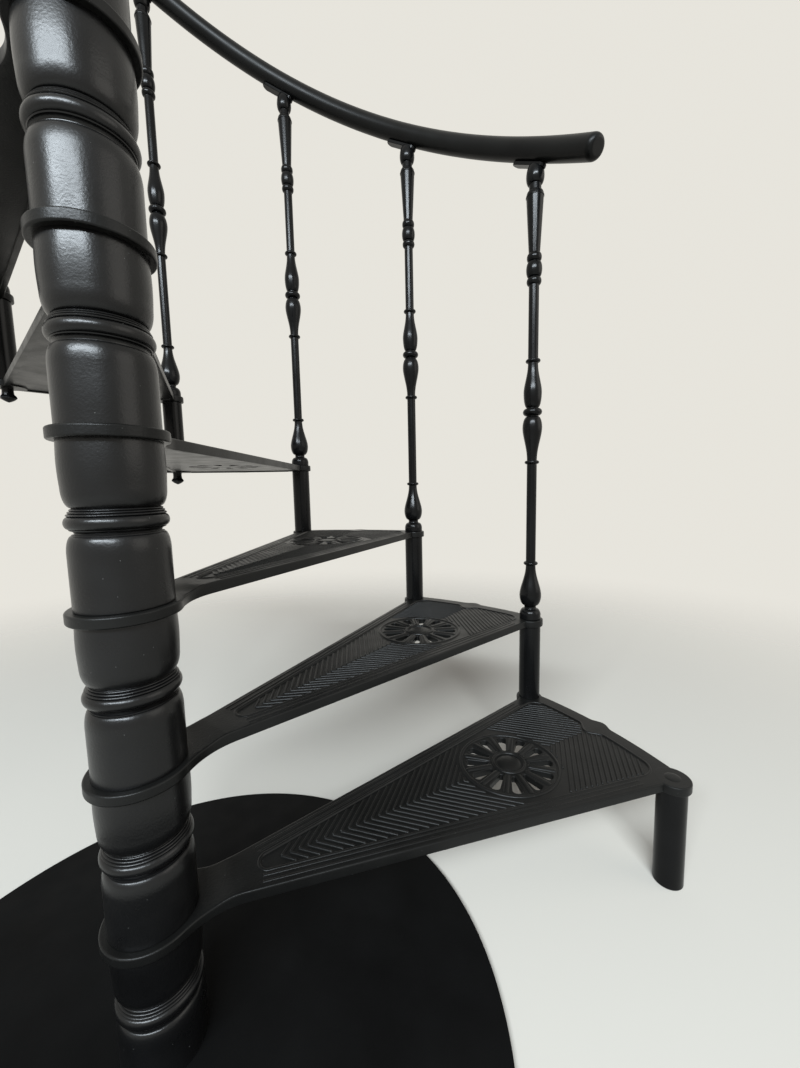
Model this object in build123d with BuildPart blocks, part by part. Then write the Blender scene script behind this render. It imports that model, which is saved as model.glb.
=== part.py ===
"""A cast spiral staircase in black: its lowest six treads around a turned centre column on a round floor
plate, with a baluster at each shared corner and the helical handrail over them.

Millimetres, +Z up. The origin is on the column's axis, at the underside of the floor plate. The flight rises
counter-clockwise seen from above.
"""

from build123d import *
import math
import os

# The flight
tread_count = 6
riser = 185.0
turn = 24.4
leg_angle = 15.0
baluster_circle = 770.0

# Treads: a wedge plate with a deeper rim, a hub ring and two corner bosses
tread_depth = 15.0
plate_thickness = 6.0
rim_width = 9.0
hub_radius = 55.0
hub_drop = 3.0
hub_seat_past_ring = 3.0
hub_web = 88.0
neck_radius = 90.0
edge_past_axis = 12.5
edge_past_hole = 8.0
edge_past_circle = 19.0
nose_reach = 9.0
nose_half_width = 24.0
boss_radius = 28.0
boss_web = 34.0

# The sunken panel on top of a tread
panel_sink = 1.6
panel_start = 118.0
panel_border = 27.0
panel_outer_border = 30.0
panel_nose_inset = 18.0
panel_corner = 40.0

# The rosette: slots that go right through, in a round
rosette_at = 545.0
slot_count = 12
slot_inner = 36.0
slot_outer = 76.0
slot_inner_width = 7.0
slot_outer_width = 17.0

# Turned work is cut with flat facets, this many to a round
column_facets = 18
baluster_facets = 10
rail_facets = 10

# The centre column: one turned sleeve to each riser, between the hub rings
barrel_radius = 47.5
belly_radius = 48.4
sleeve_neck_radius = 40.0
shoulder_start = 58.5
shoulder_height = 19.0
cove_height = 7.5
cove_radius = 43.0
bead_height = 11.5
bead_radius = 47.3
fillet_height = 8.8
fillet_radius = 44.0
foot_round_height = 20.0
cap_radius = 55.0
cap_thickness = 14.0
cap_dome_height = 26.0
cap_crown_radius = 30.0

# The floor plate, the leg and the posts between the treads' corners
plate_radius = 420.0
floor_plate_thickness = 8.0
spacer_radius = 23.0

# Balusters, from the seat on the tread's corner up
shaft_radius = 8.8
cup_radius = 23.0
cup_wall = 12.0
cup_shoulder = 11.0
cup_neck_radius = 13.5
cup_neck_height = 8.0
low_vase_radius = 23.7
low_vase_swell = 24.0
low_vase_taper = 68.0
ring_radius = 14.2
ring_height = 8.0
lower_shaft = 216.5
middle_vase_radius = 20.6
middle_vase_taper = 69.5
middle_vase_swell = 24.5
middle_neck_radius = 12.0
middle_bead_radius = 20.0
middle_bead_height = 19.0
high_vase_radius = 19.0
high_vase_swell = 32.5
high_vase_taper = 61.0
collar_radius = 15.1
collar_height = 16.0
collar_ball_radius = 16.2
collar_ball_height = 31.0
collar_groove_radius = 11.5
taper_foot_radius = 9.8
taper_top_radius = 18.9
taper_length = 117.5
taper_cap_height = 11.0
head_neck_radius = 11.8
head_neck_height = 13.0
head_ball_radius = 16.8
head_ball_height = 28.0

# The handrail, which follows a helix over the balusters
rail_radius = 21.2
rail_height = 981.0
rail_overrun = 126.0
rail_end_length = 12.0
rail_end_radius = 14.0
bracket_length = 66.0
bracket_width = 20.0
bracket_thickness = 4.0
bracket_gap = 0.3
bracket_shift = 9.0

# Sizes that follow from those above
half_turn = math.radians(turn / 2)
outer_radius = baluster_circle + edge_past_circle
corner_x = baluster_circle * math.cos(half_turn)
corner_y = baluster_circle * math.sin(half_turn)
edge_angle = half_turn - math.asin((edge_past_axis - edge_past_hole) / baluster_circle)
baluster_count = tread_count - 1
full_height = riser - tread_depth
sleeve_height = full_height + hub_drop
rail_slope = math.atan2(riser, baluster_circle * math.radians(turn))


def tread_angle(number):
    """The direction of a tread's middle line, in degrees."""
    return leg_angle + (number - 0.5) * turn


def baluster_angle(number):
    """The direction of a baluster, in degrees; number 0 is the leg's corner."""
    return leg_angle + number * turn


def around(angle, height=0.0):
    """The place on the baluster circle at an angle in degrees, turned to face the axis."""
    x = baluster_circle * math.cos(math.radians(angle))
    y = baluster_circle * math.sin(math.radians(angle))
    return Location((x, y, height), (0, 0, angle))


def write(part, label):
    """Label a finished piece and write it under its own name."""
    part.label = label
    export_step(part, f"parts/{label}.step")


os.makedirs("parts", exist_ok=True)


# The tread, modelled once about the axis with its middle line along +X and its top at height 0
def edge_point(along, offset, side):
    """A point on a line beside the tread's straight edge, offset outwards from a ray off the axis."""
    x = along * math.cos(edge_angle) - offset * math.sin(edge_angle)
    y = along * math.sin(edge_angle) + offset * math.cos(edge_angle)
    return (x, side * y)


def wedge(offset, start, reach):
    """The sketch between both straight edges, from a distance off the axis out to an arc about it."""
    far = 1.2 * reach
    with BuildSketch(mode=Mode.PRIVATE) as shape:
        with BuildLine():
            Polyline(
                edge_point(start, offset, 1),
                edge_point(far, offset, 1),
                edge_point(far, offset, -1),
                edge_point(start, offset, -1),
                close=True,
            )
        make_face()
        Circle(reach, mode=Mode.INTERSECT)
    return shape.sketch


def nose(reach, tip):
    """The low point at the middle of the outer edge, from an arc of one radius to a tip."""
    shoulder = math.sqrt(reach**2 - nose_half_width**2) - 1.0
    with BuildSketch(mode=Mode.PRIVATE) as shape:
        with BuildLine():
            Polyline((shoulder, nose_half_width), (tip, 0), (shoulder, -nose_half_width), close=True)
        make_face()
    return shape.sketch


def hub_corners(vertices):
    """Those of a sketch's corners where the straight edges leave the hub ring."""
    return [v for v in vertices if abs(math.hypot(v.X, v.Y) - hub_radius) < 0.01]


corners = [(corner_x, corner_y), (corner_x, -corner_y)]

with BuildPart() as tread_casting:
    with BuildSketch(Plane.XY.offset(-tread_depth)) as tread_outline:
        add(wedge(edge_past_axis, 0, outer_radius))
        add(nose(outer_radius, outer_radius + nose_reach))
        Circle(hub_radius)
        fillet(hub_corners(tread_outline.vertices()), radius=neck_radius)
        with Locations(*corners):
            Circle(boss_radius)
    extrude(amount=tread_depth)
    # The pocket underneath leaves a rim all round and solid metal at the hub and the bosses
    with BuildSketch(Plane.XY.offset(-tread_depth)):
        add(wedge(edge_past_axis - rim_width, hub_web, outer_radius - rim_width))
        with Locations(*corners):
            RegularPolygon(boss_web, 8, mode=Mode.SUBTRACT)
    extrude(amount=tread_depth - plate_thickness, mode=Mode.SUBTRACT)
    # The panel on top stays clear of the bosses and of the low point in the outer edge
    with BuildSketch():
        add(wedge(edge_past_axis - panel_border, panel_start, outer_radius - panel_outer_border))
        with Locations(*corners):
            RegularPolygon(panel_corner, 8, mode=Mode.SUBTRACT)
        add(nose(outer_radius, outer_radius - panel_outer_border - panel_nose_inset), mode=Mode.SUBTRACT)
    extrude(amount=-panel_sink, mode=Mode.SUBTRACT)
    # The hub ring lies a little lower than the tread, as the seat of the sleeve above
    with BuildSketch():
        Circle(hub_radius + hub_seat_past_ring)
    extrude(amount=-hub_drop, mode=Mode.SUBTRACT)
    with BuildSketch():
        with Locations((rosette_at, 0)):
            with PolarLocations((slot_inner + slot_outer) / 2, slot_count):
                Trapezoid(
                    slot_outer_width,
                    slot_outer - slot_inner,
                    math.degrees(
                        math.atan2(slot_outer - slot_inner, (slot_outer_width - slot_inner_width) / 2)
                    ),
                    rotation=90,
                )
    extrude(amount=-tread_depth, mode=Mode.SUBTRACT)

for number in range(1, tread_count + 1):
    with BuildPart() as tread:
        with Locations(Location((0, 0, number * riser), (0, 0, tread_angle(number)))):
            add(tread_casting.part)
    write(tread.part, f"tread_{number}")


# Turned pieces, given as steps upwards of (rise, radius reached)
def frustum(wide, narrow, rise, facets):
    """A flat-sided piece that stands on its wide end at height 0."""
    draft = math.atan2((wide - narrow) * math.cos(math.pi / facets), rise)
    with BuildPart() as step:
        with BuildSketch():
            RegularPolygon(wide, facets)
        extrude(amount=rise, taper=math.degrees(draft))
    return step.part


def turned(radius, steps, facets):
    """A turned solid about the Z axis, from a radius at height 0 up through its steps."""
    stack = []
    height = 0
    for rise, reached in steps:
        place = Location((0, 0, height))
        if reached > radius:
            place = Location((0, 0, height + rise), (180, 0, 0))
        if rise > 0:
            step = frustum(max(radius, reached), min(radius, reached), rise, facets)
            stack.append(step.moved(place))
        height += rise
        radius = reached
    with BuildPart() as piece:
        add(stack)
    return piece.part


def bead(stem, widest, height):
    """The steps of a rounded ring that stands out from a stem."""
    return [(0.3 * height, widest), (0.4 * height, widest), (0.3 * height, stem)]


def swell(neck, widest, height):
    """The steps of a rounded flare from a neck out to the widest point."""
    return [(0.35 * height, neck + 0.7 * (widest - neck)), (0.65 * height, widest)]


def taper(widest, thin, height):
    """The steps of a vase's long side, from its widest point in to the shaft."""
    return [(0.4 * height, widest - 0.42 * (widest - thin)), (0.6 * height, thin)]


def upside_down(steps, radius):
    """The same steps from the other end, ending at the radius that they began with."""
    reached = [radius] + [step[1] for step in steps[:-1]]
    return [(step[0], end) for step, end in zip(reversed(steps), reversed(reached))]


def sleeve_steps(height):
    """A sleeve's steps: lower barrel, shoulder, cove, bead, fillet, foot round and upper barrel."""
    shoulder = swell(sleeve_neck_radius, barrel_radius, shoulder_height)
    lower = shoulder_start + height - sleeve_height
    middle = shoulder_height + cove_height + bead_height + fillet_height + foot_round_height
    upper = height - lower - middle
    return [
        (lower, barrel_radius),
        *upside_down(shoulder, sleeve_neck_radius),
        (cove_height, cove_radius),
        *bead(cove_radius, bead_radius, bead_height),
        (0, fillet_radius),
        (fillet_height, fillet_radius),
        (0, sleeve_neck_radius),
        *swell(sleeve_neck_radius, barrel_radius, foot_round_height),
        (upper / 2, belly_radius),
        (upper / 2, barrel_radius),
    ]


def write_turned(piece, place, label):
    """Write a turned piece at its place."""
    with BuildPart() as placed:
        with Locations(place):
            add(piece)
    write(placed.part, label)


first_height = full_height - floor_plate_thickness
first_sleeve = turned(barrel_radius, sleeve_steps(first_height), column_facets)
full_sleeve = turned(barrel_radius, sleeve_steps(sleeve_height), column_facets)
write_turned(first_sleeve, Location((0, 0, floor_plate_thickness)), "column_sleeve_1")
for number in range(1, tread_count + 1):
    seat = Location((0, 0, number * riser - hub_drop))
    write_turned(full_sleeve, seat, f"column_sleeve_{number + 1}")

cap_steps = [
    (cap_thickness, cap_radius),
    *upside_down(swell(cap_crown_radius, cap_radius, cap_dome_height), cap_crown_radius),
]
column_cap = turned(cap_radius, cap_steps, column_facets)
write_turned(column_cap, Location((0, 0, tread_count * riser + full_height)), "column_cap")

with BuildPart() as floor_plate:
    with BuildSketch():
        Circle(plate_radius)
    extrude(amount=floor_plate_thickness)
write(floor_plate.part, "floor_plate")

# A spacer post stands between a tread's back corner and the next tread's front corner
with BuildPart() as spacer_posts:
    for number in range(1, baluster_count + 1):
        with Locations(around(baluster_angle(number), number * riser)):
            Cylinder(spacer_radius, full_height, align=(Align.CENTER, Align.CENTER, Align.MIN))
write(spacer_posts.part, "spacer_posts")

with BuildPart() as corner_leg:
    with Locations(around(baluster_angle(0))):
        Cylinder(spacer_radius, full_height, align=(Align.CENTER, Align.CENTER, Align.MIN))
write(corner_leg.part, "corner_leg")

# A baluster, turned in one piece, with its head cut to the slope of the handrail's bracket
seat_drop = (rail_radius + bracket_gap + bracket_thickness) / math.cos(rail_slope)
head_height = rail_height - seat_drop
low_steps = [
    (cup_wall, cup_radius),
    (cup_shoulder, cup_neck_radius),
    (cup_neck_height, cup_neck_radius),
    *swell(cup_neck_radius, low_vase_radius, low_vase_swell),
    *taper(low_vase_radius, shaft_radius, low_vase_taper),
    *bead(shaft_radius, ring_radius, ring_height),
    (lower_shaft, shaft_radius),
    *bead(shaft_radius, ring_radius, ring_height),
    *upside_down(taper(middle_vase_radius, shaft_radius, middle_vase_taper), middle_vase_radius),
    *upside_down(swell(middle_neck_radius, middle_vase_radius, middle_vase_swell), middle_neck_radius),
    *bead(middle_neck_radius, middle_bead_radius, middle_bead_height),
    *swell(middle_neck_radius, high_vase_radius, high_vase_swell),
    *taper(high_vase_radius, shaft_radius, high_vase_taper),
    *bead(shaft_radius, ring_radius, ring_height),
]
high_steps = [
    (0, collar_groove_radius),
    *bead(collar_groove_radius, collar_radius, collar_height),
    *bead(collar_groove_radius, collar_ball_radius, collar_ball_height),
    *bead(collar_groove_radius, collar_radius, collar_height),
    (0, taper_foot_radius),
    (taper_length, taper_top_radius),
    (taper_cap_height, head_neck_radius),
    (head_neck_height, head_neck_radius),
    *swell(head_neck_radius, head_ball_radius, head_ball_height / 2),
]
turned_height = sum(step[0] for step in low_steps + high_steps) + head_ball_height / 2
upper_shaft = (head_height - turned_height, shaft_radius)
head_crown = (head_ball_height / 2 + head_ball_radius, head_neck_radius)
baluster_steps = low_steps + [upper_shaft] + high_steps + [head_crown]

with BuildPart() as turned_baluster:
    add(turned(cup_radius, baluster_steps, baluster_facets))
    seat_normal = (0, -math.sin(rail_slope), math.cos(rail_slope))
    split(bisect_by=Plane(origin=(0, 0, head_height), z_dir=seat_normal), keep=Keep.BOTTOM)

for number in range(1, baluster_count + 1):
    seat = around(baluster_angle(number), (number + 1) * riser)
    write_turned(turned_baluster.part, seat, f"baluster_{number}")

# A flat bracket under the handrail on each baluster's head
with BuildPart() as rail_brackets:
    for number in range(1, baluster_count + 1):
        place = around(baluster_angle(number), (number + 1) * riser + rail_height)
        slope = Location((0, 0, 0), (math.degrees(rail_slope), 0, 0))
        with Locations(place * slope * Location((0, bracket_shift, -rail_radius - bracket_gap))):
            Box(
                bracket_width,
                bracket_length,
                bracket_thickness,
                align=(Align.CENTER, Align.CENTER, Align.MAX),
            )
write(rail_brackets.part, "rail_brackets")


# The handrail: a round bar along a helix, bent bay by bay, with tapered ends
def rail_point(angle):
    """The point on the handrail's centre line in a direction from the axis, in degrees."""
    height = (angle - leg_angle) / turn * riser + riser + rail_height
    x = baluster_circle * math.cos(math.radians(angle))
    y = baluster_circle * math.sin(math.radians(angle))
    return (x, y, height)


rail_span = math.degrees(rail_overrun / baluster_circle)
rail_stops = [baluster_angle(number) for number in range(1, baluster_count + 1)]
rail_stops = [rail_stops[0] - rail_span] + rail_stops + [rail_stops[-1] + rail_span]
with BuildPart() as handrail:
    with BuildLine() as rail_path:
        for start, end in zip(rail_stops, rail_stops[1:]):
            ThreePointArc(rail_point(start), rail_point((start + end) / 2), rail_point(end))
    with BuildSketch(Plane(rail_path.line @ 0, z_dir=rail_path.line % 0)):
        RegularPolygon(rail_radius, rail_facets)
    sweep(path=rail_path.line)
    end_draft = math.degrees(math.atan2(rail_radius - rail_end_radius, rail_end_length))
    for end_face in handrail.faces().filter_by(GeomType.PLANE):
        extrude(end_face, amount=rail_end_length, taper=end_draft)
write(handrail.part, "handrail")
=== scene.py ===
"""A cast spiral staircase in black satin paint: smooth turned work, ribbed treads with a pierced
rosette, a plain pale floor, soft studio light and a camera at the foot of the flight.

Shapes are worked out in millimetres, +Z up, with the origin on the column's axis at the underside
of the floor plate, and scaled to metres as each mesh is finished.
"""

import math

import bmesh
import bpy
from mathutils import Matrix, Vector
from mathutils.geometry import tessellate_polygon


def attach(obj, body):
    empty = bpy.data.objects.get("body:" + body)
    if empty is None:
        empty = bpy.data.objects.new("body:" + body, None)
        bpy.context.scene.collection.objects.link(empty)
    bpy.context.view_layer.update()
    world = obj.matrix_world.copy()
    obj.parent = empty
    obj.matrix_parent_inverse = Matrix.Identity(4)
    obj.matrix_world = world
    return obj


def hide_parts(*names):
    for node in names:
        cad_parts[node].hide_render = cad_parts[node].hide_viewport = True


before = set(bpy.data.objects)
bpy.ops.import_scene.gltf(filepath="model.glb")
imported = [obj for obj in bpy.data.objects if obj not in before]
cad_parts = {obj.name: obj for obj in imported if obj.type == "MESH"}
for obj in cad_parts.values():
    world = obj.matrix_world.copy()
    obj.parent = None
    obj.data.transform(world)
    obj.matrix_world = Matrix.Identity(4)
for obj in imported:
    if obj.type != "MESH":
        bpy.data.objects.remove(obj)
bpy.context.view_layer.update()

METRES = 0.001
STILL = Matrix.Identity(4)

# The flight; angles are in degrees
TREAD_COUNT = 6
RISER = 185.0
TURN = 24.4
LEG_ANGLE = 15.0
BALUSTER_CIRCLE = 770.0
BALUSTER_COUNT = TREAD_COUNT - 1

# Tread casting
TREAD_DEPTH = 15.0
PLATE_THICKNESS = 12.0
RIM_WIDTH = 9.0
HUB_RADIUS = 55.0
HUB_DROP = 3.0
HUB_EASE = 2.2
HUB_WEB = 88.0
RAMP_START = 56.0
RAMP_END = 88.0
RAMP_STEPS = 10
NECK_RADIUS = 90.0
EDGE_PAST_AXIS = 12.5
EDGE_PAST_HOLE = 8.0
OUTER_RADIUS = 789.0
NOSE_REACH = 9.0
NOSE_HALF_WIDTH = 26.0
BOSS_RADIUS = 28.0
BOSS_DRUM_RADIUS = BOSS_RADIUS - 0.2
BOSS_FACE_RADIUS = 25.5
BOSS_EASE = 2.4
BOSS_WEB = 34.0
BOSS_SIDE_ANGLE = 55.0
DRUM_PROUD = 0.1

# Where a tread's outline begins, hidden inside the column
INSIDE_COLUMN = ((20.0, 0.0), (24.0, 36.0))

# Sunk panel
PANEL_SINK = 1.6
PANEL_BORDER = 27.0
PANEL_OUTER_BORDER = 30.0
PANEL_START = 118.0
PANEL_START_RADIUS = 11.0
PANEL_NOSE_INSET = 18.0
PANEL_NOSE_HALF_WIDTH = 30.0
PANEL_CORNER = 28.0

# Rosette
ROSETTE_AT = 545.0
ROSETTE_RING = 84.0
ROSETTE_CLEAR = 91.0
ROSETTE_SIDES = 72
SLOT_COUNT = 12
SLOT_INNER = 36.0
SLOT_OUTER = 76.0
SLOT_INNER_HALF = 3.5
SLOT_OUTER_HALF = 8.5
SLOT_INNER_ROUND = 3.0
SLOT_OUTER_ROUND = 6.5
SPOKE_RADII = (32.0, 35.0, 75.0, 79.0)
SPOKE_HALF_WIDTH = 4.8
SPOKE_HEIGHT = 2.1
DOME_RADIUS = 21.0
DOME_HEIGHT = 2.8
DOME_SINK = 0.3

# Rings round the rosette, as (radius, half width, height)
ROSETTE_RINGS = ((ROSETTE_RING, 3.2, 2.2), (27.5, 2.8, 2.6))

# Walls of the casting, as rows of (inset, height) under the tread's top
SIDE_ROWS = (
    (2.6, 0), (1.0, -0.35), (0.35, -1.0), (0, -2.6), (0, -13.2), (0.5, -14.5), (1.8, -TREAD_DEPTH)
)
PANEL_ROWS = ((-0.9, 0), (-0.1, -0.3), (0.4, -1.2), (1.2, -PANEL_SINK))
SLOT_ROWS = ((-1.6, -PANEL_SINK), (-0.6, -1.9), (-0.1, -2.6), (0, -3.4), (0, -PLATE_THICKNESS))
POCKET_ROWS = ((0.8, -PLATE_THICKNESS), (0, -TREAD_DEPTH))

# Ridges on a tread: lines along the straight edges, the line round the panel and the ribs
RIDGE_SIDES = 6
RIDGE_ROOT = 0.4
RIDGE_END = 0.25
EDGE_LINES = (9.0, 18.0)
EDGE_LINE_START = 122.0
EDGE_LINE_END = 712.0
EDGE_LINE_EASE = 2.0
EDGE_LINE_HALF_WIDTH = 1.9
EDGE_LINE_HEIGHT = 0.9
PANEL_LINE_OUT = 2.0
PANEL_LINE_HALF_WIDTH = 2.2
PANEL_LINE_HEIGHT = 1.0
RIB_PITCH = 12.0
RIB_HALF_WIDTH = 2.1
RIB_HEIGHT = 1.9
RIB_MARGIN = 3.0
RIB_STEP = 0.25
RIB_STEPS = 700
RIB_SHORTEST = 16
FIRST_RIB = 30.0
RIBS_FROM_ROSETTE = 92.0
RIBS_PAST_EDGE = 100.0

# Column sleeves, from the foot up
FULL_HEIGHT = RISER - TREAD_DEPTH
SLEEVE_HEIGHT = FULL_HEIGHT + HUB_DROP
SLEEVE_EASE = 1.0
BARREL_RADIUS = 47.5
BELLY_RADIUS = 48.4
BELLY_STEPS = 16
SHOULDER_START = 58.5
SHOULDER_HEIGHT = 19.0
LEDGE_RADIUS = 42.0
COVE_RADIUS = 39.6
COVE_HEIGHT = 3.8
LIP_FOOT_RADIUS = 43.4
LIP_RADIUS = 44.0
BEAD_STEM_RADIUS = 43.2
BEAD_RADIUS = 47.9
BEAD_HEIGHT = 13.0
SLEEVE_NECK_RADIUS = 40.0
FOOT_ROUND_HEIGHT = 19.8

# Fine rings over a sleeve's bead, as (stem radius, ring radius, height)
FINE_RINGS = ((43.4, 45.4, 2.7), (42.0, 43.9, 2.6), (40.6, 42.3, 2.4))

# What the shapes between the two barrels take, with a fifth of a millimetre to spare at the top
SHAPED_HEIGHT = 67.0

# Column cap and floor plate
CAP_RADIUS = 55.0
CAP_THICKNESS = 14.0
CAP_EASE = 2.5
CAP_DOME_HEIGHT = 26.0
FLOOR_PLATE_THICKNESS = 8.0
PLATE_RADIUS = 419.9
PLATE_FOOT_EASE = 1.2
PLATE_TOP_EASE = 2.4

# The small flat in the middle of a dome
CROWN_RADIUS = 2.0

# Balusters, from the seat up
CUP_RADIUS = 23.0
CUP_EASE = 2.0
CUP_WALL = 7.0
CUP_TOP_RADIUS = 14.5
CUP_SHOULDER = 14.0
CUP_HOLLOW_RADIUS = 12.6
CUP_HOLLOW_HEIGHT = 8.0
LOW_VASE_FOOT_RADIUS = 13.5
LOW_VASE_RADIUS = 23.7
LOW_VASE_SWELL = 24.0
LOW_VASE_TAPER = 68.0
SHAFT_RADIUS = 10.5
SHAFT_RING = 15.4
RING_HEIGHT = 8.0
LOWER_SHAFT = 216.5
MIDDLE_VASE_RADIUS = 20.6
MIDDLE_VASE_TAPER = 69.5
MIDDLE_VASE_SWELL = 24.5
KNOT_STEM_RADIUS = 12.0
KNOT_STEM_HEIGHT = 1.5
KNOT_RADIUS = 20.0
KNOT_HEIGHT = 16.0
HIGH_VASE_RADIUS = 19.0
HIGH_VASE_SWELL = 32.5
HIGH_VASE_TAPER = 61.0
COLLAR_FOOT_RADIUS = 9.5
COLLAR_RADIUS = 15.1
COLLAR_HEIGHT = 16.0
COLLAR_BALL_RADIUS = 16.2
COLLAR_BALL_HEIGHT = 31.0
COLLAR_GROOVE_RADIUS = 11.0
CONE_FOOT_RADIUS = 11.4
CONE_RADIUS = 17.4
CONE_HEIGHT = 107.5
CONE_RIM_RADIUS = 18.4
CONE_RIM_HEIGHT = 3.6
CONE_TOP_RADIUS = 12.4
CONE_TOP_HEIGHT = 8.9
HEAD_NECK_RADIUS = 12.0
HEAD_NECK_HEIGHT = 12.5
BALL_RADIUS = 18.2
BALL_SWELL = 15.5
BALL_DROP = 21.0
BALL_CROWN = 26.0
BALL_CROWN_RADIUS = 6.0

# Posts and fasteners
SPACER_RADIUS = 23.0
SPACER_EASE = 1.2
BOLT_FOOT_RADIUS = 12.6
BOLT_RADIUS = 13.0
BOLT_EDGE = 0.5
BOLT_DOME = 2.2
BOLT_CROWN_RADIUS = 3.0
BOLT_SINK = 1.2

# Parts of a domed nut: the radius and height of the foot and the steps upwards
NUT_COLLAR = (11.6, -17.0, [(5.0, 10.7), (6.0, 10.3), (6.0, 10.9)])
NUT_HEXAGON = (14.4, -23.5, [(1.4, 16.8), (4.0, 15.4), (4.6, 11.0)])
NUT_TIP = (1.0, -31.0, [(1.2, 4.0), (2.6, 8.8), (2.4, 12.2), (1.6, 13.4)])

# Handrail and brackets
RAIL_RADIUS = 21.2
RAIL_HEIGHT = 981.0
RAIL_OVERRUN = 126.0
RAIL_TOP_TRIM = 4.0
RAIL_STEPS = 220
RAIL_END_LENGTH = 12.0
RAIL_END_ROUND = 9.0
RAIL_END_RADIUS = 8.0
RAIL_END_DISH = 0.2
BRACKET_LENGTH = 84.0
BRACKET_WIDTH = 20.0
BRACKET_DEPTH = 6.5
BRACKET_TOP_EASE = 0.8
BRACKET_FOOT_EASE = 0.9
BRACKET_GAP = 0.3
BRACKET_SHIFT = 3.0

# How far under a bracket's top its baluster ends, which is inside the bracket
BRACKET_SEAT = 4.0

# Bracket screws
SCREW_RADIUS = 6.8
SCREW_HEIGHT = 5.0
SCREW_DOME = 4.4
SCREW_ROOT = 1.6
SCREW_DOWNHILL = 22.0

# Sides of the round pieces
COLUMN_SIDES = 96
PLATE_SIDES = 256
POST_SIDES = 64
BOSS_SIDES = 64
RAIL_SIDES = 64
BALUSTER_SIDES = 44
DOME_SIDES = 48
NUT_SIDES = 40
SCREW_SIDES = 32
FLOOR_SIDES = 96

# Floor and background, in metres
FLOOR_REACH = 6.0
FLOOR_SINK = 0.0006
FLOOR_FADE = (0.9, 3.2)
FLOOR_COLOUR = (0.60, 0.565, 0.505)
BACKGROUND_COLOUR = (0.80, 0.78, 0.72)
SKY_COLOUR = (0.95, 0.97, 1.0)
SKY_STRENGTH = 0.2
LIGHTS_AIM = (0.1, 0.2, 0.8)

# Camera, in metres, degrees and pixels of an image 800 wide
FOCAL_PIXELS = 425.11
IMAGE_WIDTH = 800
SENSOR_WIDTH = 36.0
CAMERA_PLACE = (0.29681, -0.45503, 0.67054)
CAMERA_YAW = 89.69
CAMERA_PITCH = 6.12
CAMERA_ROLL = -1.2

# Sizes that follow from those above
HALF_TURN = math.radians(TURN / 2)
EDGE_ANGLE = HALF_TURN - math.asin((EDGE_PAST_AXIS - EDGE_PAST_HOLE) / BALUSTER_CIRCLE)
RAIL_SLOPE = math.atan2(RISER, BALUSTER_CIRCLE * math.radians(TURN))
SEAT_DROP = (RAIL_RADIUS + BRACKET_GAP + BRACKET_SEAT) / math.cos(RAIL_SLOPE)


def tread_angle(number):
    """The direction of a tread's middle line, in degrees."""
    return LEG_ANGLE + (number - 0.5) * TURN


def baluster_angle(number):
    """The direction of a baluster, in degrees; number 0 is the leg's corner."""
    return LEG_ANGLE + number * TURN


def around(angle, radius, height):
    """The placing of a piece at an angle in degrees about the axis, its own +X outwards."""
    return Matrix.Rotation(math.radians(angle), 4, "Z") @ Matrix.Translation((radius, 0, height))


# Materials
def link(tree, source, target):
    """Join two sockets."""
    tree.links.new(source, target)


def noise(tree, place, scale, detail):
    """A noise texture over the surface's own place in metres."""
    node = tree.nodes.new("ShaderNodeTexNoise")
    node.inputs["Scale"].default_value = scale
    node.inputs["Detail"].default_value = detail
    link(tree, place, node.inputs["Vector"])
    return node.outputs["Fac"]


def spread(tree, value, low, high):
    """The middle of a noise's range spread from low to high."""
    node = tree.nodes.new("ShaderNodeMapRange")
    node.inputs["From Min"].default_value = 0.3
    node.inputs["From Max"].default_value = 0.7
    node.inputs["To Min"].default_value = low
    node.inputs["To Max"].default_value = high
    link(tree, value, node.inputs["Value"])
    return node.outputs["Result"]


def blend(tree, dark, light):
    """A node that mixes two colours."""
    node = tree.nodes.new("ShaderNodeMix")
    node.data_type = "RGBA"
    node.inputs["A"].default_value = (*dark, 1)
    node.inputs["B"].default_value = (*light, 1)
    return node


def relief(tree, height, depth):
    """A bump of a depth in metres."""
    node = tree.nodes.new("ShaderNodeBump")
    node.inputs["Distance"].default_value = depth
    link(tree, height, node.inputs["Height"])
    return node


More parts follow.
